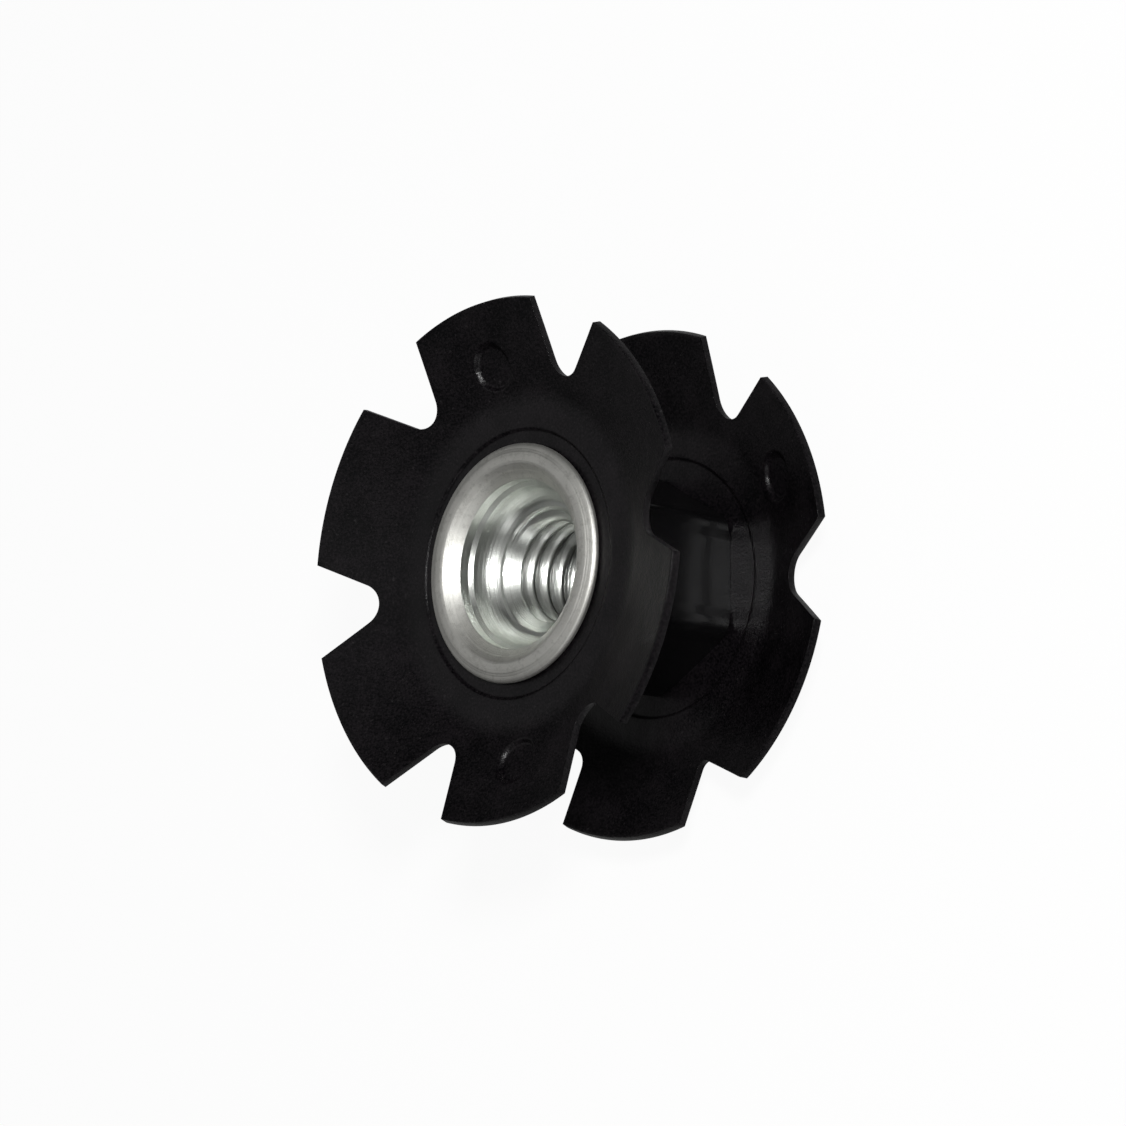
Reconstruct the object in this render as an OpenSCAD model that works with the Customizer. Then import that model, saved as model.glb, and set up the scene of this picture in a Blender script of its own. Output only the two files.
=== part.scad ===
// Star nut for a threadless steerer tube, in millimetres.
// Two dished star washers are held apart by a hexagonal spacer and clamped on a threaded
// sleeve, between its turned head below and its flared rim above. The prongs lean up towards
// the flared end, so the nut drives down into the tube and bites when the bolt pulls it up.
// Z runs along the nut's axis, and the origin is the middle of the head's flat face.

/* [Star washers] */
// Largest diameter, at the outer edge of the prongs
star_d = 26.3; // [25.2:0.1:30]
// Thickness of the sheet
sheet_t = 0.4; // [0.3:0.05:0.6]
// Number of prongs on each washer
prongs = 6; // [5:1:7]
// Height of the rim above the flat hub, on the hollow side
dish_rise = 2; // [1.2:0.1:2.2]
// Slope of the prongs, in degrees
dish_slope = 22.6; // [21:0.2:28]
// Radius of the bend between the hub and the prongs, on the hollow side
bend_r = 3; // [1:0.5:4.5]
// Turn of the upper washer about the axis, in degrees
upper_turn = 35; // [0:1:60]
// Turn of the lower washer about the axis, in degrees
lower_turn = 26; // [0:1:60]

/* [Slots between the prongs] */
// Width of a slot across its mouth
slot_mouth = 5.1; // [4:0.1:5.8]
// Depth of a slot from the outer edge
slot_depth = 3.5; // [2.6:0.1:4.2]
// Radius of a slot's round end
slot_end_r = 1.15; // [0.7:0.05:1.3]
// Depth of the lower washer's one narrow slot
narrow_depth = 3; // [2.2:0.1:3.4]
// Radius of the narrow slot's end
narrow_end_r = 0.45; // [0.3:0.05:0.6]
// Shift of the narrow slot's end to one side of its mouth
narrow_shift = 0.7; // [0:0.05:0.9]

/* [Pressed marks] */
// Diameter of the round mark on two opposite prongs
mark_d = 2.5; // [1.6:0.1:2.8]
// Depth of the mark
mark_depth = 0.15; // [0.05:0.01:0.2]
// Distance from the outer edge to the middle of the mark
mark_in = 3.1; // [2.4:0.05:3.4]

/* [Hexagonal spacer] */
// Thinnest wall, behind the middle of each flat
spacer_wall = 0.45; // [0.3:0.05:1.4]
// Length between the washers
spacer_l = 9.7; // [6:0.1:14]
// Reach of the round end faces past the flats
end_reach = 0.3; // [0.1:0.05:0.5]

/* [Threaded sleeve] */
// Outer diameter of the sleeve's body
sleeve_d = 9; // [8.8:0.1:9.4]
// Diameter of the threaded hole, across its crests
thread_d = 5; // [4.2:0.1:5.2]
// Thinnest wall of the flared end, around the wide bore above the thread
flared_wall = 0.45; // [0.35:0.05:0.45]
// Depth of the wide bore's floor below the top of the upper washer's hub
bore_depth = 2; // [1.9:0.1:4]
// Reach of the turned head past the body, below the lower washer
head_w = 1; // [0.6:0.05:1.5]
// Thickness of the head
head_t = 1; // [0.8:0.1:2]
// Reach of the flared rim past the body
flare_w = 1.5; // [1.3:0.05:1.6]
// Height of the flared rim above the washer
flare_h = 0.6; // [0.55:0.05:1]
// Width of the flared rim, from its outer edge to where it turns down into the hole
rim_w = 0.85; // [0.75:0.05:1]
// Slope of the funnel inside the flared rim, in degrees
funnel_slope = 41; // [35:1:45]

/* [Fits] */
// Gap all round between the sleeve and the pieces threaded on it
slip = 0.05; // [0.02:0.01:0.1]
// Width of the washer's flat seat outside the flared rim
seat_margin = 0.65; // [0.4:0.05:0.8]
// Drop of the seat below the rest of the hub
seat_drop = 0.12; // [0.06:0.01:0.15]

/* [Hidden] */

$fn = 96;
arc_steps = 8;        // straight steps in each arc of a section
overshoot = 1;        // how far a cutter runs past the surface it cuts
cross_in = 0.005;     // how far a slot's sides cut inside its round end
black = [0.1, 0.09, 0.1];
zinc = [0.72, 0.72, 0.69];

// Radii that follow the sleeve's body, from its bore out to the spacer's flats
body_r = sleeve_d / 2;
hole_r = body_r + slip;
flat_r = hole_r + spacer_wall;
flare_r = body_r + flare_w;

// Heights of the stack, from the head's flat face upwards
lower_seat = head_t;
spacer_seat = lower_seat + sheet_t;
upper_seat = spacer_seat + spacer_l;
flare_seat = upper_seat + sheet_t;

// Washer section: the seat, the hub around it, a bend and the sloping prongs
seat_r = flare_r + seat_margin;
rim_r = star_d / 2 - sheet_t * sin(dish_slope);
bend_rise = bend_r * (1 - cos(dish_slope));
bend_start = rim_r - bend_r * sin(dish_slope) - (dish_rise - bend_rise) / tan(dish_slope);
mark_at = star_d / 2 - mark_in;

// Slots: the number of the lower washer's narrow one, and the prongs that carry a mark
narrow_slot = 4;
marked = [for (i = [1, 4]) if (i < prongs) i];
lower_marked = [for (i = [0, 3]) if (i < prongs) i];
prong_step = 360 / prongs;

// Sleeve details
edge_break = 0.2;     // chamfer on the head and at the thread's lower end
lip_r = 0.24;         // round on the flared rim's outer edge
mouth_round = 0.4;    // round where the rim turns into the funnel
neck = 0.2;           // taper from the body out to the rim's seat, and in the washers' holes
throat_in = 0.25;     // from the body's surface in to the foot of the funnel
throat_h = 0.53;      // height of the throat, down to the step in the wide bore
taper_h = 0.55;       // height of the taper at the lower end of that bore
cone_w = 0.4;         // width of the 45-degree cone below the taper
floor_w = 0.2;        // width of the flat floor between the cone and the thread's lead
thread_lead = 0.7;    // height of the 45-degree lead into the thread
crown_w = 0.45;       // width of the slope from the rim's crown to its outer edge

// Points along an arc about a centre, both ends included
function arc(centre, r, from, to) =
    [for (i = [0:arc_steps]) let (a = from + (to - from) * i / arc_steps)
        centre + r * [cos(a), sin(a)]];

// Point of the tangent from a slot's corner to its round end, a hair inside it so that the
// side and the end cross cleanly
function tangent_point(corner, centre, r, side) =
    let (d = corner - centre, near = r - cross_in, a = atan2(d.y, d.x) + side * acos(near / norm(d)))
    centre + near * [cos(a), sin(a)];

// Corner of a slot's mouth on the outer edge, half its width from the slot's middle line
function mouth_corner(half) = [sqrt(pow(star_d / 2, 2) - pow(half, 2)), half];

// Side of a slot, run on past the outer edge along its own line
function slot_side(corner, centre, r, side) =
    let (t = tangent_point(corner, centre, r, side), run = (corner - t) / norm(corner - t))
    [t, corner + overshoot * run];

// Height of the prong's hollow side above the washer's seat, at a distance from the axis
function prong_height(at) =
    sheet_t + seat_drop + dish_rise - (rim_r - at) * tan(dish_slope);

// One slot in plan, with straight sides that run into a round end
module slot_plan(centre, end_r, left_half, right_half) {
    left = slot_side(mouth_corner(left_half), centre, end_r, 1);
    right = slot_side(mouth_corner(-right_half), centre, end_r, -1);
    polygon([left[0], left[1], right[1], right[0], centre]);
    translate(centre) circle(end_r);
}

module slot() {
    slot_plan([star_d / 2 - slot_depth + slot_end_r, 0], slot_end_r, slot_mouth / 2, slot_mouth / 2);
}

module narrowed_slot() {
    end = [star_d / 2 - narrow_depth + narrow_end_r, -narrow_shift];
    slot_plan(end, narrow_end_r, slot_mouth / 2 - narrow_shift / 2, slot_mouth / 2);
}

// Half section of a washer: the lower face outwards, the edge, and the upper face back
module washer_section() {
    bend_low = [bend_start, sheet_t + seat_drop + bend_r];
    under = arc(bend_low, bend_r + sheet_t, -90, dish_slope - 90);
    upper = arc(bend_low, bend_r, dish_slope - 90, -90);
    rim_top = [rim_r, sheet_t + seat_drop + dish_rise];
    rim_under = rim_top + sheet_t * [sin(dish_slope), -cos(dish_slope)];
    polygon(concat(
        [[hole_r, 0], [seat_r, 0], [seat_r + seat_drop, seat_drop]],
        under, [rim_under, rim_top], upper,
        [[seat_r + seat_drop, sheet_t + seat_drop], [seat_r, sheet_t],
         [hole_r + neck, sheet_t], [hole_r, sheet_t - neck]]
    ));
}

// Puts its children on a prong's hollow side, with Z square to the sheet
module on_prong(i) {
    rotate([0, 0, i * prong_step])
        translate([mark_at, 0, prong_height(mark_at)])
            rotate([0, -dish_slope, 0]) children();
}

// Plug of a pressed mark, which tapers at 45 degrees down to its floor
module mark_plug(floor_z, top_z) {
    floor_r = mark_d / 2 - mark_depth;
    translate([0, 0, floor_z])
        cylinder(h = top_z - floor_z, r1 = floor_r, r2 = floor_r + top_z - floor_z);
}

module star_washer(marks, narrow) {
    difference() {
        union() {
            rotate_extrude() washer_section();
            for (i = marks) on_prong(i) mark_plug(-sheet_t - mark_depth, -sheet_t / 2);
        }
        for (i = [0:prongs - 1]) rotate([0, 0, (i + 0.5) * prong_step])
            translate([0, 0, -overshoot])
                linear_extrude(dish_rise + sheet_t + seat_drop + 2 * overshoot)
                    if (i == narrow) narrowed_slot(); else slot();
        for (i = marks) on_prong(i) mark_plug(-mark_depth, mark_depth);
    }
}

module upper_star_washer() {
    color(black) translate([0, 0, upper_seat]) rotate([0, 0, upper_turn])
        star_washer(marked, -1);
}

module lower_star_washer() {
    color(black) translate([0, 0, lower_seat]) rotate([0, 0, lower_turn])
        star_washer(lower_marked, narrow_slot);
}

// Hexagonal bar, turned at both ends and bored to slip over the sleeve
module hex_spacer() {
    corner_r = flat_r / cos(30);
    end_r = flat_r + end_reach;
    corner_drop = (corner_r - end_r) * tan(30);
    color(black) translate([0, 0, spacer_seat]) difference() {
        intersection() {
            rotate([0, 0, 30]) cylinder(h = spacer_l, r = corner_r, $fn = 6);
            rotate_extrude() polygon([
                [0, 0], [end_r, 0], [corner_r, corner_drop],
                [corner_r, spacer_l - corner_drop], [end_r, spacer_l], [0, spacer_l]
            ]);
        }
        translate([0, 0, -overshoot]) cylinder(h = spacer_l + 2 * overshoot, r = hole_r);
    }
}

// Turned sleeve: head, body, flared rim, funnel, throat, wide bore, lead and threaded hole
module threaded_sleeve() {
    head_r = body_r + head_w;
    bore_r = thread_d / 2;
    wide_r = body_r - flared_wall;
    throat_r = body_r - throat_in;
    lead_r = bore_r + thread_lead;
    cone_r = lead_r + floor_w;
    lip = [flare_r - lip_r, flare_seat + lip_r];
    mouth = [flare_r - rim_w, flare_seat + flare_h - mouth_round];
    mouth_arc = arc(mouth, mouth_round, 90, 90 + funnel_slope);
    funnel_top = mouth_arc[arc_steps];
    throat_z = funnel_top.y - (funnel_top.x - throat_r) * tan(funnel_slope);
    step_z = throat_z - throat_h;
    floor_z = flare_seat - bore_depth;
    taper_z = floor_z + cone_w;
    color(zinc) rotate_extrude() polygon(concat(
        [[bore_r + edge_break, 0], [head_r - edge_break, 0], [head_r, edge_break],
         [head_r, head_t - edge_break], [head_r - edge_break, head_t],
         [body_r, head_t], [body_r, flare_seat - neck], [body_r + neck, flare_seat]],
        arc(lip, lip_r, -90, 90),
        [[flare_r - lip_r - crown_w, flare_seat + flare_h]],
        mouth_arc,
        [[throat_r, throat_z], [throat_r, step_z], [wide_r, step_z - (throat_r - wide_r)],
         [wide_r, taper_z + taper_h], [cone_r + cone_w, taper_z], [cone_r, floor_z],
         [lead_r, floor_z], [bore_r, floor_z - thread_lead], [bore_r, edge_break]]
    ));
}

upper_star_washer();
lower_star_washer();
hex_spacer();
threaded_sleeve();
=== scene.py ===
from math import acos, atan2, cos, hypot, pi, radians, sin, sqrt, tan

import bmesh
import bpy
from mathutils import Matrix, Vector


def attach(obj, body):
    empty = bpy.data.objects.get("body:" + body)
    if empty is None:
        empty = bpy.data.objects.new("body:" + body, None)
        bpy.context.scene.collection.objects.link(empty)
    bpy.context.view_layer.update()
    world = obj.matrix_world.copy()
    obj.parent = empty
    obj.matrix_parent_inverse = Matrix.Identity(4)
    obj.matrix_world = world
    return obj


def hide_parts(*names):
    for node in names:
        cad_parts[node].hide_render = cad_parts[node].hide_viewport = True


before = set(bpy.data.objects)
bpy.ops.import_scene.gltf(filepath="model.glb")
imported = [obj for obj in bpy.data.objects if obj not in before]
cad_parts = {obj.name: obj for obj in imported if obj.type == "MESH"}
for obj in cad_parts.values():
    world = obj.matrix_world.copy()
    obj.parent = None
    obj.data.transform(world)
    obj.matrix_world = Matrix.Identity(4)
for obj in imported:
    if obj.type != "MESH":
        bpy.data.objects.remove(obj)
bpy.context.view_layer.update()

mm = 0.001


def smooth(x, low, high):                      # 0 below low, 1 above high, eased between
    t = min(max((x - low) / (high - low), 0), 1)
    return t * t * (3 - 2 * t)


def spread(start, end, steps):                 # evenly spaced values, both ends included
    return [start + (end - start) * k / steps for k in range(steps + 1)]


def arcPoints(centre, radius, start, end, steps):
    out = []
    for angle in spread(start, end, steps):
        a = radians(angle)
        out.append((centre[0] + radius * cos(a), centre[1] + radius * sin(a)))
    return out


def makeMesh(name, points, faces, material):
    mesh = bpy.data.meshes.new(name)
    mesh.from_pydata([(x * mm, y * mm, z * mm) for x, y, z in points], [], faces)
    mesh.validate()
    mesh.shade_smooth()
    piece = bpy.data.objects.new(name, mesh)
    bpy.context.scene.collection.objects.link(piece)
    mesh.materials.append(material)
    return piece


def softenEdges(piece, width, segments, angle):
    bevel = piece.modifiers.new("edge round", "BEVEL")
    bevel.width = width * mm
    bevel.segments = segments
    bevel.limit_method = "ANGLE"
    bevel.angle_limit = radians(angle)
    bevel.use_clamp_overlap = True
    normals = piece.modifiers.new("flat faces stay flat", "WEIGHTED_NORMAL")
    normals.keep_sharp = True


class Wire:                                    # a socket that takes part in plain arithmetic
    def __init__(self, tree, socket):
        self.tree, self.socket = tree, socket

    def math(self, operation, *values):
        return self.tree.add("ShaderNodeMath", {"operation": operation}, *values)

    def __add__(self, other): return self.math("ADD", self, other)
    def __radd__(self, other): return self.math("ADD", other, self)
    def __sub__(self, other): return self.math("SUBTRACT", self, other)
    def __rsub__(self, other): return self.math("SUBTRACT", other, self)
    def __mul__(self, other): return self.math("MULTIPLY", self, other)
    def __rmul__(self, other): return self.math("MULTIPLY", other, self)
    def __pow__(self, other): return self.math("POWER", self, other)


class Finish:                                  # the node tree of one material or world
    def __init__(self, owner):
        owner.use_nodes = True
        self.nodes, self.links = owner.node_tree.nodes, owner.node_tree.links
        self.nodes.clear()

    def add(self, kind, settings, *inputs, output=0):
        node = self.nodes.new(kind)
        for key, value in settings.items():
            if key == "stops":
                ramp = node.color_ramp
                while len(ramp.elements) < len(value):
                    ramp.elements.new(0.5)
                for stop, (place, shade) in zip(ramp.elements, value):
                    stop.position = place
                    stop.color = (shade, shade, shade, 1)
            else:
                setattr(node, key, value)
        for place, value in enumerate(inputs):
            named = value if isinstance(value, dict) else {place: value}
            for where, what in named.items():
                if isinstance(what, Wire):
                    self.links.new(what.socket, node.inputs[where])
                elif what is not None:
                    node.inputs[where].default_value = what
        return Wire(self, node.outputs[output]) if node.outputs else None

    def outlets(self, kind, *inputs):          # every output of a node, by its name
        outputs = self.add(kind, {}, *inputs).socket.node.outputs
        return {socket.name: Wire(self, socket) for socket in outputs}

    def blend(self, amount, first, second, way="MIX"):             # colour mix
        settings = {"data_type": "RGBA", "blend_type": way}
        return self.add("ShaderNodeMix", settings, {0: amount, 6: first, 7: second}, output=2)

    def noise(self, place, scale, detail=2.0, rough=0.5):
        inputs = {"Vector": place, "Scale": scale, "Detail": detail, "Roughness": rough}
        return self.add("ShaderNodeTexNoise", {}, inputs)

    def ramp(self, value, stops):
        return self.add("ShaderNodeValToRGB", {"stops": stops}, value)

    def bump(self, height, strength, distance, normal=None):       # distance in millimetres
        inputs = {"Height": height, "Strength": strength, "Distance": distance * mm, "Normal": normal}
        return self.add("ShaderNodeBump", {}, inputs)

    def millimetres(self):                     # the place on the piece, in millimetres
        place = self.add("ShaderNodeTexCoord", {}, output=3)
        return self.add("ShaderNodeVectorMath", {"operation": "SCALE"}, {0: place, "Scale": 1 / mm})

    def surface(self, **inputs):
        named = {key.replace("_", " "): value for key, value in inputs.items()}
        shader = self.add("ShaderNodeBsdfPrincipled", {}, named)
        self.add("ShaderNodeOutputMaterial", {}, shader)


view = {
    "position": (124.408, -31.158, 126.636),   # millimetres
    "right": (0.689112, 0.0, -0.724655),
    "up": (0.131118, 0.983494, 0.124687),
    "back": (0.712694, -0.180938, 0.677738),
    "lens": 111.21,
    "sensor": 36,
    "clip": (0.005, 20),                       # metres
}

axes = {key: Vector(view[key]) for key in ("right", "up", "back")}
cameraData = bpy.data.cameras.new("camera")
cameraData.lens = view["lens"]
cameraData.sensor_width = view["sensor"]
cameraData.clip_start, cameraData.clip_end = view["clip"]
camera = bpy.data.objects.new("camera", cameraData)
turn = Matrix((axes["right"], axes["up"], axes["back"])).transposed()
camera.matrix_world = Matrix.Translation(Vector(view["position"]) * mm) @ turn.to_4x4()
bpy.context.scene.collection.objects.link(camera)
bpy.context.scene.camera = camera
bpy.context.scene.view_settings.view_transform = "Standard"
print("camera set")


def springSteel():                             # black-oxide spring steel, satin
    look = {
        "dark": (0.0003, 0.0002, 0.0005, 1),
        "light": (0.0074, 0.0060, 0.0071, 1),
        "worn": (0.040, 0.037, 0.038, 1),
        "wornShare": 0.25,
        "grainScale": 8.0,                     # noise scales are per millimetre
        "cloudScale": 0.45,
        "speckScale": 5.0,
        "speckStops": ((0.66, 0.0), (0.76, 1.0)),
        "mottleStops": ((0.42, 0.0), (0.64, 1.0)),
        "rough": 0.22,
        "specular": 0.20,
        "grainBump": (0.6, 0.03),              # strength, and height in millimetres
        "cloudBump": (0.25, 0.2),
    }
    m = bpy.data.materials.new("black spring steel")
    f = Finish(m)
    p = f.millimetres()
    grain = f.noise(p, look["grainScale"], 3.0, 0.65)
    cloud = f.noise(p, look["cloudScale"], 3.0, 0.55)
    specks = f.ramp(f.noise(p, look["speckScale"]), look["speckStops"])
    mottle = f.ramp(cloud * 0.3 + grain * 0.7, look["mottleStops"])
    colour = f.blend(mottle, look["dark"], look["light"])
    colour = f.blend(specks * look["wornShare"], colour, look["worn"])
    f.surface(Base_Color=colour,
              Roughness=look["rough"] + grain * 0.14 + cloud * 0.04,
              Specular_IOR_Level=look["specular"],
              Normal=f.bump(grain, *look["grainBump"], f.bump(cloud, *look["cloudBump"])))
    return m


def blackBar():                                # black-oxide hexagonal bar
    look = {
        "dark": (0.0006, 0.0006, 0.0008, 1),
        "light": (0.0050, 0.0048, 0.0052, 1),
        "grainScale": 7.0,
        "drawnScale": (9.0, 9.0, 0.7),         # drawing marks run along the bar
        "rough": 0.16,
        "specular": 0.8,
        "grainBump": (0.20, 0.03),
        "drawnBump": (0.25, 0.02),
    }
    m = bpy.data.materials.new("black bar")
    f = Finish(m)
    p = f.millimetres()
    stretched = f.add("ShaderNodeVectorMath", {"operation": "MULTIPLY"}, p, look["drawnScale"])
    drawn = f.noise(stretched, 1.0)
    grain = f.noise(p, look["grainScale"], 3.0, 0.6)
    colour = f.blend(grain, look["dark"], look["light"])
    f.surface(Base_Color=colour,
              Roughness=look["rough"] + grain * 0.10 + drawn * 0.06,
              Specular_IOR_Level=look["specular"],
              Normal=f.bump(grain, *look["grainBump"], f.bump(drawn, *look["drawnBump"])))
    return m


def zincPlate():                               # bright zinc on turned steel
    look = {
        "deep": (0.48, 0.48, 0.45, 1),
        "bright": (0.84, 0.83, 0.79, 1),
        "dull": (0.30, 0.30, 0.27, 1),
        "dullShare": 0.45,
        # painted shade: below the lip, the zinc is pulled part of the way towards this darker, greener
        # grey, which darkens the inside of the bore
        "bore": (0.40, 0.43, 0.41, 1),
        "boreShadeShare": 0.55,
        "ringScale": 9.0,
        "cloudScale": 0.8,
        "grainScale": 12.0,
        "blotchScale": 3.2,
        "blotchStops": ((0.50, 0.0), (0.72, 1.0)),
        "lipFrom": 11.40,                      # the flared lip is duller from here up; below it the bore's painted shade begins
        "lipTo": 11.50,
        "rough": 0.24,
        "lipRough": 0.20,
        "ringBump": (0.6, 0.04),
        "grainBump": (0.3, 0.02),
    }
    m = bpy.data.materials.new("zinc plate")
    f = Finish(m)
    p = f.millimetres()
    place = f.outlets("ShaderNodeSeparateXYZ", p)
    x, y, z = place["X"], place["Y"], place["Z"]
    radius = (x * x + y * y) ** 0.5
    rings = f.noise(f.add("ShaderNodeCombineXYZ", {}, radius, z, 0.0), look["ringScale"], 3.0, 0.65)
    cloud = f.noise(p, look["cloudScale"], 3.0, 0.6)
    grain = f.noise(p, look["grainScale"])
    blotch = f.ramp(f.noise(p, look["blotchScale"], 4.0, 0.7), look["blotchStops"])
    eased = {"interpolation_type": "SMOOTHSTEP"}
    lip = f.add("ShaderNodeMapRange", eased, z, look["lipFrom"], look["lipTo"])
    colour = f.blend(cloud * 0.5 + rings * 0.5, look["deep"], look["bright"])
    colour = f.blend(blotch * look["dullShare"], colour, look["dull"])
    # painted shade: darker inside the bore, below the lip
    colour = f.blend((1 - lip) * look["boreShadeShare"], colour, look["bore"])
    f.surface(Base_Color=colour, Metallic=1.0,
              Roughness=look["rough"] + lip * look["lipRough"] + cloud * 0.08 + rings * 0.08,
              Normal=f.bump(rings, *look["ringBump"], f.bump(grain, *look["grainBump"])))
    return m


finishes = {"spring": springSteel(), "bar": blackBar(), "zinc": zincPlate()}
print("finishes made")


stack = {                                      # heights of what lies on one another, in millimetres
    "head": 1.0,
    "sheet": 0.4,
    "spacer": 9.7,
}
spacerSeat = stack["head"] + stack["sheet"]
upperSeat = spacerSeat + stack["spacer"]
flareSeat = upperSeat + stack["sheet"]


washer = {
    "prongs": 6,
    "rimTop": 12.996,         # outer radius of the hollow side, and of the other side
    "rimUnder": 13.15,
    "hole": 4.55,
    "neck": 0.2,              # taper round the hole, on the hollow side
    "seatEdge": 6.65,         # where the pressed seat steps up by seatDrop
    "seatDrop": 0.12,
    "seatBlend": (0.02, 0.18),     # how far the step reaches inwards and outwards
    "seatLead": 0.1,          # the last plain row lies this far inside the step
    "rise": 2.0,
    "slope": 22.6,
    "bend": 3.0,
    "slotMouth": 5.1,
    "slotDepth": 3.5,
    "slotEnd": 1.15,
    "narrowEnd": (10.6, -0.7, 0.45),         # the narrow slot's round end: place and radius
    "narrowLeft": 2.2,
    "markAt": 10.05,
    "markSize": 1.25,
    "markDepth": 0.22,        # the mark's wall slopes at 45 degrees
    "markGrow": 0.02,         # the boss on the other side is this much wider
    "plainSteps": (9, 7, 34),      # along a slot's end, a slot's side and the rim
    "markedSteps": (14, 12, 76),
    "plainRows": 22,          # from the bend out to the rim
    "markedRows": 66,
    "edgeRound": 0.05,
    "edgeAngle": 40,
}
w = washer
slope = radians(w["slope"])
bendRise = w["bend"] * (1 - cos(slope))
bendStart = w["rimTop"] - w["bend"] * sin(slope) - (w["rise"] - bendRise) / tan(slope)
bendEnd = bendStart + w["bend"] * sin(slope)
seatFrom, seatTo = w["seatEdge"] - w["seatBlend"][0], w["seatEdge"] + w["seatBlend"][1]
prongStep = 2 * pi / w["prongs"]


def sheetShape(r):                             # height of the hollow side and its slope, at radius r
    base = stack["sheet"] + w["seatDrop"] * smooth(r, seatFrom, seatTo)
    if r <= bendStart:
        return base, 0.0
    if r < bendEnd:
        a = (r - bendStart) / w["bend"]
        return base + w["bend"] * (1 - sqrt(1 - a * a)), a / sqrt(1 - a * a)
    return base + bendRise + (r - bendEnd) * tan(slope), tan(slope)


def surfaceHeight(x, y, under, marked):        # height of one surface of the sheet above the seat
    r = hypot(x, y)
    z, rise = sheetShape(min(r, w["rimTop"]) if under else r)
    if under:                                  # one sheet thickness away, and a rim square to the sheet
        z -= stack["sheet"] * sqrt(1 + rise * rise)
        z += max(r - w["rimTop"], 0) * tan(slope)
    if marked:
        along, across = (r - w["markAt"]) / cos(slope), atan2(y, x) * r
        reach = w["markSize"] + (w["markGrow"] if under else 0.0)
        z -= min(max(reach - hypot(along, across), 0), w["markDepth"]) / cos(slope)
    return z


def touchAngle(end, endRadius, corner, side):
    # where on the slot's round end, as an angle, a line from the corner just touches it
    dx, dy = corner[0] - end[0], corner[1] - end[1]
    return atan2(dy, dx) + side * acos(endRadius / hypot(dx, dy))


def halfSlot(narrow, side, rim, arcSteps, lineSteps):
    # outline of one side of a slot, from the middle of its end out to the rim, with the slot along +X
    if narrow:
        ex, ey, er = w["narrowEnd"]
        half = w["narrowLeft"] if side > 0 else w["slotMouth"] / 2
    else:
        ex, ey, er = w["rimUnder"] - w["slotDepth"] + w["slotEnd"], 0.0, w["slotEnd"]
        half = w["slotMouth"] / 2
    corner = (sqrt(w["rimUnder"] ** 2 - half ** 2), side * half)
    a = touchAngle((ex, ey), er, corner, side)
    points = []
    for t in spread(pi * side, a, arcSteps)[:-1]:
        points.append((ex + er * cos(t), ey + er * sin(t)))
    tx, ty = ex + er * cos(a), ey + er * sin(a)
    run = (corner[0] - tx, corner[1] - ty)     # follow the side on to this surface's rim
    square, double = run[0] ** 2 + run[1] ** 2, 2 * (tx * run[0] + ty * run[1])
    short = tx * tx + ty * ty - rim * rim
    reach = (-double + sqrt(double * double - 4 * square * short)) / (2 * square)
    for t in spread(0.0, reach, lineSteps):
        points.append((tx + run[0] * t, ty + run[1] * t))
    return points


def turned(point, angle):
    x, y = point
    return (x * cos(angle) - y * sin(angle), x * sin(angle) + y * cos(angle))


def prongOutline(before, after, rim, steps):   # from the slot before the prong, round it, to the slot after
    arcSteps, lineSteps, rimSteps = steps
    first = [turned(q, -prongStep / 2) for q in halfSlot(before, 1, rim, arcSteps, lineSteps)]
    last = [turned(q, prongStep / 2) for q in halfSlot(after, -1, rim, arcSteps, lineSteps)]
    last.reverse()
    a, b = atan2(first[-1][1], first[-1][0]), atan2(last[0][1], last[0][0])
    edge = [(rim * cos(t), rim * sin(t)) for t in spread(a, b, rimSteps)[1:-1]]
    return first + edge + last


def stitch(left, right, shared):
    # faces between two columns of points; past the shared rows, one column may be the finer one
    faces = [(left[j], left[j + 1], right[j + 1], right[j]) for j in range(shared)]
    leftRows, rightRows = len(left) - 1 - shared, len(right) - 1 - shared
    few = min(leftRows, rightRows)
    for j in range(few):
        a, c = (shared + k * (leftRows // few) for k in (j, j + 1))
        b, d = (shared + k * (rightRows // few) for k in (j, j + 1))
        if leftRows == rightRows:
            faces.append((left[a], left[c], right[d], right[b]))
        elif leftRows > rightRows:
            faces += [(left[i], left[i + 1], right[b]) for i in range(a, c)]
            faces.append((left[c], right[d], right[b]))
        else:
            faces += [(left[a], right[i + 1], right[i]) for i in range(b, d)]
            faces.append((left[a], left[c], right[d]))
    return faces


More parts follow.
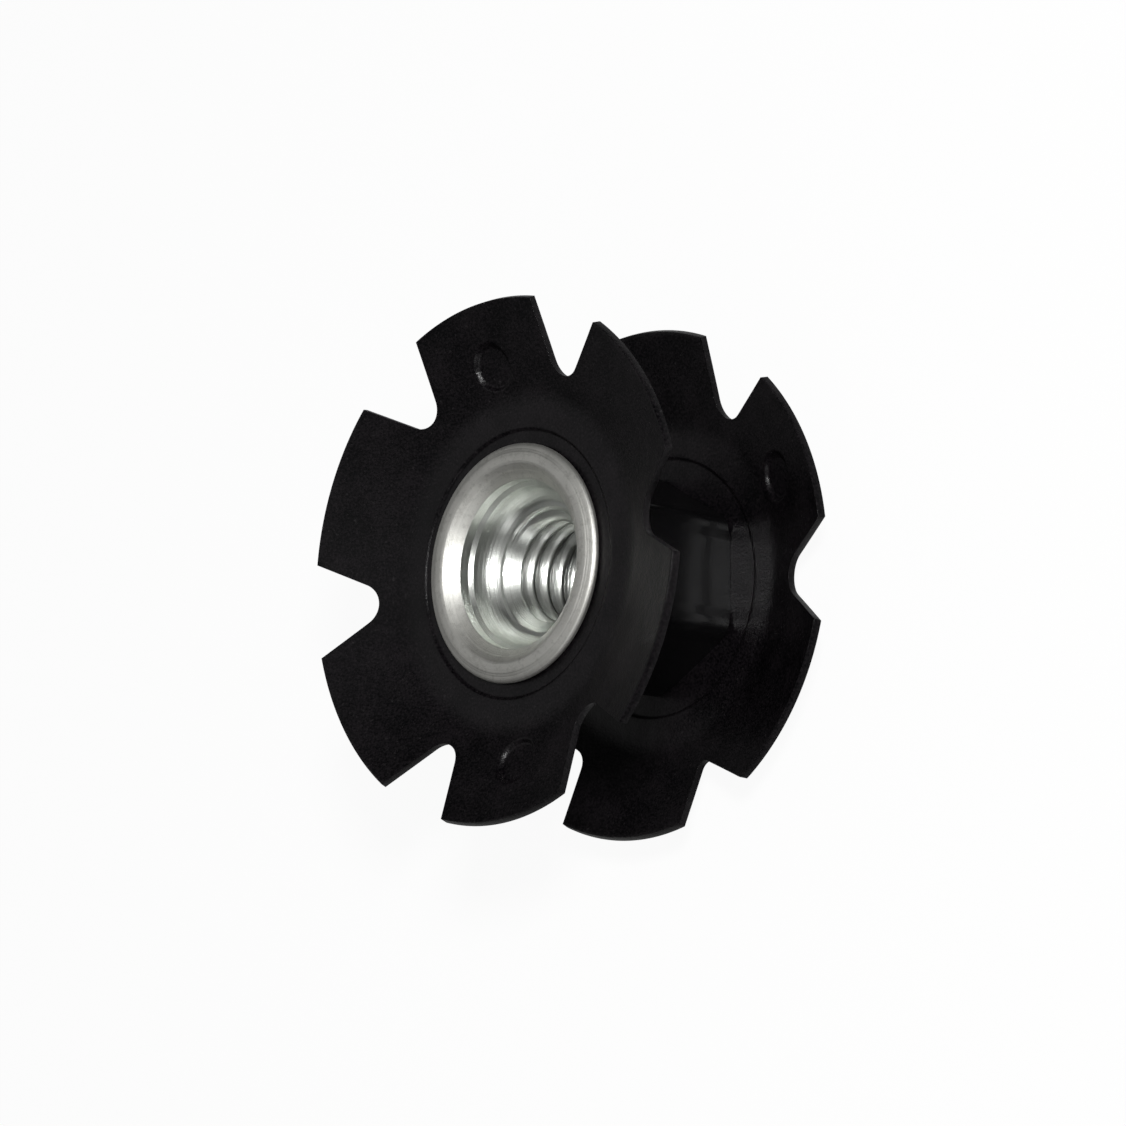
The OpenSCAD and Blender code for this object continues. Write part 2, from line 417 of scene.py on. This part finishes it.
def starWasher(name, seat, turnAngle, markedProngs, narrowSlot):
    points, faces, columns = [], [], []        # a column holds the rows of the top and of the underside
    hubRadii = [w["hole"]]
    hubRadii += spread(w["hole"] + w["neck"], w["seatEdge"] - w["seatLead"], 4)
    hubRadii += spread(seatFrom, seatTo, 5)
    hubRadii += spread(seatTo, bendStart, 4)[1:]
    hubRadii += spread(bendStart, bendEnd, 10)[1:]
    hubRows = len(hubRadii) - 1
    for prong in range(w["prongs"]):
        marked = prong in markedProngs
        steps = w["markedSteps"] if marked else w["plainSteps"]
        rows = w["markedRows"] if marked else w["plainRows"]
        before, after = narrowSlot == (prong - 1) % w["prongs"], narrowSlot == prong
        outlines = [prongOutline(before, after, w[key], steps) for key in ("rimTop", "rimUnder")]
        lengths = [0.0]
        for (ax, ay), (bx, by) in zip(outlines[0], outlines[0][1:]):
            lengths.append(lengths[-1] + hypot(bx - ax, by - ay))
        for k in range(len(lengths) - 1):
            hubAngle = -prongStep / 2 + prongStep * lengths[k] / lengths[-1]
            column = []
            for under, outline in enumerate(outlines):
                line = [(r * cos(hubAngle), r * sin(hubAngle)) for r in hubRadii]
                (hx, hy), (ox, oy) = line[-1], outline[k]
                line += list(zip(spread(hx, ox, rows), spread(hy, oy, rows)))[1:]
                column.append(range(len(points), len(points) + len(line)))
                for j, (x, y) in enumerate(line):
                    z = surfaceHeight(x, y, under, marked)
                    if j == 0 and not under:
                        z -= w["neck"]
                    points.append((*turned((x, y), turnAngle + prong * prongStep), z + seat))
            columns.append(column)
    for (top, under), (nextTop, nextUnder) in zip(columns, columns[1:] + columns[:1]):
        for upper, lower in zip(stitch(top, nextTop, hubRows), stitch(under, nextUnder, hubRows)):
            faces += [upper, (lower[0], *reversed(lower[1:]))]
        faces.append((top[-1], under[-1], nextUnder[-1], nextTop[-1]))
        faces.append((top[0], nextTop[0], nextUnder[0], under[0]))
    piece = makeMesh(name, points, faces, finishes["spring"])
    softenEdges(piece, w["edgeRound"], 2, w["edgeAngle"])
    return piece


upperWasher = starWasher("upperWasher", upperSeat, radians(35), (1, 4), None)
lowerWasher = starWasher("lowerWasher", stack["head"], radians(26), (0, 3), 4)
for piece, node in ((upperWasher, "upper_star_washer"), (lowerWasher, "lower_star_washer")):
    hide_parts(node)
    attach(piece, "root")
print("star washers made")


spacer = {
    "flat": 5.0,              # from the axis to a flat
    "endRadius": 5.3,         # the turned end leaves the corners this far out
    "chamfer": 30,
    "bore": 4.55,
    "cornerRound": 0.18,
    "cornerShare": 0.45,      # how much of that round is taken off at the very corner
    "endStep": 0.02,          # least height between an end and the flats
    "around": 360,
    "edgeRound": 0.05,
    "edgeAngle": 25,
}


def spacerPiece():
    s = spacer
    points, faces, columns = [], [], []
    for k in range(s["around"]):
        a = 2 * pi * k / s["around"]
        off = (a + pi / 6) % (pi / 3) - pi / 6                 # angle from the nearest flat
        near, far = s["flat"] / cos(off), s["flat"] / cos(pi / 3 - abs(off))
        overlap = max(0, 1 - (far - near) / (2 * s["cornerRound"]))      # 1 where two flats meet
        r = near - s["cornerRound"] * s["cornerShare"] * overlap ** 2
        drop = max(max(r - s["endRadius"], 0) * tan(radians(s["chamfer"])), s["endStep"])
        end = min(r, s["endRadius"])
        ring = [(s["bore"], 0.0), (end, 0.0)]
        ring += [(r, drop), (r, stack["spacer"] / 2), (r, stack["spacer"] - drop)]
        ring += [(end, stack["spacer"]), (s["bore"], stack["spacer"])]
        columns.append(range(len(points), len(points) + len(ring)))
        points += [(q * cos(a), q * sin(a), spacerSeat + z) for q, z in ring]
    for here, there in zip(columns, columns[1:] + columns[:1]):
        for j in range(len(here)):
            n = (j + 1) % len(here)
            faces.append((here[j], there[j], there[n], here[n]))
    piece = makeMesh("hexSpacer", points, faces, finishes["bar"])
    softenEdges(piece, s["edgeRound"], 2, s["edgeAngle"])
    return piece


hexSpacer = spacerPiece()
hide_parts("hex_spacer")
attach(hexSpacer, "root")
print("spacer made")


sleeve = {
    "head": 5.5,
    "body": 4.5,
    "neck": 0.2,              # taper under the flared rim
    "flare": 6.0,
    "flareHeight": 0.6,
    "lip": 0.24,
    "crown": 0.45,
    "mouth": 5.15,
    "mouthRound": 0.4,
    "funnelSlope": 41,
    "throat": 4.25,           # radius at the funnel's foot
    "throatHeight": 0.53,     # down to the step in the wide bore
    "wide": 4.05,
    "taper": 0.55,            # height of the taper at the wide bore's lower end
    "cone": 0.4,
    "coneFoot": 3.4,
    "floor": 9.5,
    "lead": 0.7,              # height of the 45-degree lead into the thread
    "crest": 2.5,
    "root": 3.1,
    "rootMargin": 0.08,       # the head's flat face starts this far outside the thread
    "pitch": 1.0,
    "threadStart": 0.445,
    "crestFlat": 0.02,        # share of the pitch that is flat at the crest
    "edgeBreak": 0.2,
    "around": 240,
    "rowsPerTurn": 18,
    "weld": 0.003,            # points closer than this are one point
    "sliver": 0.0005,         # edges shorter than this are dropped
    "edgeRound": 0.03,
    "edgeAngle": 38,
}


def threadRadius(phase):                       # phase 0 to 1 along one pitch
    s = sleeve
    off = abs((phase % 1) - 0.5) * 2           # 0 at the sharp root, 1 at the rounded crest
    return s["root"] + (s["crest"] - s["root"]) * sin(pi / 2 * min(off / (1 - s["crestFlat"]), 1))


def sleeveProfile():                           # radius and height, from the foot round to the bore's floor
    s = sleeve
    out = [(s["root"] + s["rootMargin"], 0.0), (s["head"] - s["edgeBreak"], 0.0)]
    out += [(s["head"], s["edgeBreak"]), (s["head"], stack["head"] - s["edgeBreak"])]
    out += [(s["head"] - s["edgeBreak"], stack["head"]), (s["body"], stack["head"])]
    out += [(s["body"], flareSeat - s["neck"]), (s["body"] + s["neck"], flareSeat)]
    lip = (s["flare"] - s["lip"], flareSeat + s["lip"])
    out += arcPoints(lip, s["lip"], -90, 90, 10)
    top = flareSeat + s["flareHeight"]
    crownEnd, lipTop = s["flare"] - s["lip"] - s["crown"], lip[1] + s["lip"]
    for t in spread(0, 1, 5)[1:-1]:            # the crown swells a little between the lip and the mouth
        out.append((lip[0] + (crownEnd - lip[0]) * t, lipTop + (top - lipTop) * sin(t * pi / 2)))
    out.append((crownEnd, top))
    out += arcPoints((s["mouth"], top - s["mouthRound"]), s["mouthRound"], 90, 90 + s["funnelSlope"], 8)
    funnelRadius, funnelTop = out[-1]
    throatZ = funnelTop - (funnelRadius - s["throat"]) * tan(radians(s["funnelSlope"]))
    stepZ, coneZ = throatZ - s["throatHeight"], s["floor"] + s["cone"]
    out += [(s["throat"], throatZ), (s["throat"], stepZ)]
    out += [(s["wide"], stepZ - (s["throat"] - s["wide"])), (s["wide"], coneZ + s["taper"])]
    out += [(s["coneFoot"] + s["cone"], coneZ), (s["coneFoot"], s["floor"])]
    return out


def sleevePiece():
    s = sleeve
    profile = sleeveProfile()
    threadRows = int(s["floor"] / s["pitch"] * s["rowsPerTurn"]) + s["rowsPerTurn"] + 2
    points, faces = [], []
    for k in range(s["around"] + 1):
        a = 2 * pi * k / s["around"]
        lift = s["pitch"] * k / s["around"]    # right-handed: a full turn climbs one pitch
        ring = list(profile)
        for j in range(threadRows):
            z = min(max(s["floor"] - s["pitch"] * j / s["rowsPerTurn"] + lift, 0.0), s["floor"])
            thread = threadRadius((z - lift - s["threadStart"]) / s["pitch"])
            leadIn, leadOut = s["crest"] + s["lead"] + z - s["floor"], s["crest"] + s["edgeBreak"] - z
            ring.append((max(thread, leadIn, leadOut), z))
        points += [(r * cos(a), r * sin(a), z) for r, z in ring]
    length = len(ring)
    for k in range(s["around"]):
        here, there = k * length, (k + 1) * length
        for j in range(length):
            n = (j + 1) % length
            faces.append((here + j, there + j, there + n, here + n))
    piece = makeMesh("threadedSleeve", points, faces, finishes["zinc"])
    mesh = bmesh.new()                         # close the seam, and drop the rows trimmed off at both ends
    mesh.from_mesh(piece.data)
    bmesh.ops.remove_doubles(mesh, verts=mesh.verts, dist=s["weld"] * mm)
    bmesh.ops.dissolve_degenerate(mesh, edges=mesh.edges, dist=s["sliver"] * mm)
    mesh.to_mesh(piece.data)
    mesh.free()
    softenEdges(piece, s["edgeRound"], 1, s["edgeAngle"])
    return piece


threadedSleeve = sleevePiece()
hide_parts("threaded_sleeve")
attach(threadedSleeve, "root")
print("sleeve made")


studio = {
    "floor": 0.75,
    "reach": 2,               # half the floor's width, in metres
    "drop": 0.02,             # the floor lies this many millimetres under the head
    "shadow": 0.06,           # how much of the floor's own shading shows to the camera
    "ambient": 0.25,
    "glow": 0.6,              # how much of the floor's own glow the metal shows
    "inMetal": 0.12,          # how bright that glow is, and the sky where it meets the floor
    "sky": ((0.25, 0.12), (0.62, 0.42), (1.0, 0.48)),          # by height, as metal sees it
    # the sky's share from one side to the other
    "side": ((0.30, 0.15), (0.42, 0.5), (0.52, 1.0), (0.65, 1.0), (0.75, 0.30), (0.83, 0.03)),
    "aim": (0, 0, 7),         # what the lamps point at
    # name, direction as shares of the camera's right, up and back, distance, width and power
    "lamps": (("key", (0.0, 0.257, 0.966), 220, 32, 0.50),
              ("low fill", (-0.30, -0.65, 0.69), 400, 60, 0.14)),
}


def grey(value):
    return (value, value, value, 1)


def whiteFloor():
    t = studio
    material = bpy.data.materials.new("white floor")
    f = Finish(material)
    paper = f.add("ShaderNodeBsdfDiffuse", {}, grey(t["floor"]))
    path = f.outlets("ShaderNodeLightPath")
    mirrored = path["Is Glossy Ray"] + path["Is Transmission Ray"]
    seen = path["Is Camera Ray"] * (1 - t["shadow"]) + mirrored * t["glow"]
    white = f.add("ShaderNodeEmission", {}, f.blend(mirrored, grey(1), grey(t["inMetal"])), 1.0)
    shader = f.add("ShaderNodeMixShader", {}, seen, paper, white)
    under = f.outlets("ShaderNodeNewGeometry")["Backfacing"] * path["Is Camera Ray"]
    clear = f.add("ShaderNodeBsdfTransparent", {})             # so that the nut shows from below
    f.add("ShaderNodeOutputMaterial", {}, f.add("ShaderNodeMixShader", {}, under, shader, clear))
    reach, z = t["reach"], -t["drop"] * mm
    corners = [(-reach, -reach, z), (reach, -reach, z), (reach, reach, z), (-reach, reach, z)]
    mesh = bpy.data.meshes.new("floor")
    mesh.from_pydata(corners, [], [(0, 1, 2, 3)])
    mesh.materials.append(material)
    floor = bpy.data.objects.new("floor", mesh)
    bpy.context.scene.collection.objects.link(floor)


def studioSky():
    t = studio
    world = bpy.data.worlds.new("studio")
    bpy.context.scene.world = world
    f = Finish(world)
    path = f.outlets("ShaderNodeLightPath")
    direction = f.outlets("ShaderNodeSeparateXYZ", f.add("ShaderNodeTexCoord", {}, output=0))
    sky = f.ramp(direction["Z"], ((0.0, t["inMetal"]), *t["sky"]))
    side = f.ramp(direction["Y"] * 0.5 + 0.5, t["side"])
    mirrored = f.blend(1.0, sky, side, "MULTIPLY")
    colour = f.blend(path["Is Glossy Ray"], grey(t["ambient"]), mirrored)
    colour = f.blend(path["Is Camera Ray"], colour, grey(1))
    f.add("ShaderNodeOutputWorld", {}, f.add("ShaderNodeBackground", {}, colour, 1.0))


def softbox(name, direction, distance, width, power):
    aim = Vector(studio["aim"])
    shares = zip(("right", "up", "back"), direction)
    way = sum((axes[key] * share for key, share in shares), Vector((0, 0, 0)))
    place = aim + way.normalized() * distance
    data = bpy.data.lights.new(name, "AREA")
    data.shape = "RECTANGLE"
    data.size, data.size_y = width * mm, width * mm
    data.energy = power
    lamp = bpy.data.objects.new(name, data)
    lamp.location = place * mm
    lamp.rotation_euler = (place - aim).to_track_quat("Z", "Y").to_euler()
    bpy.context.scene.collection.objects.link(lamp)
    lamp.visible_camera = False
    print(name, "at", [round(v) for v in place])


whiteFloor()
studioSky()
for lampValues in studio["lamps"]:
    softbox(*lampValues)
print("stage lit")
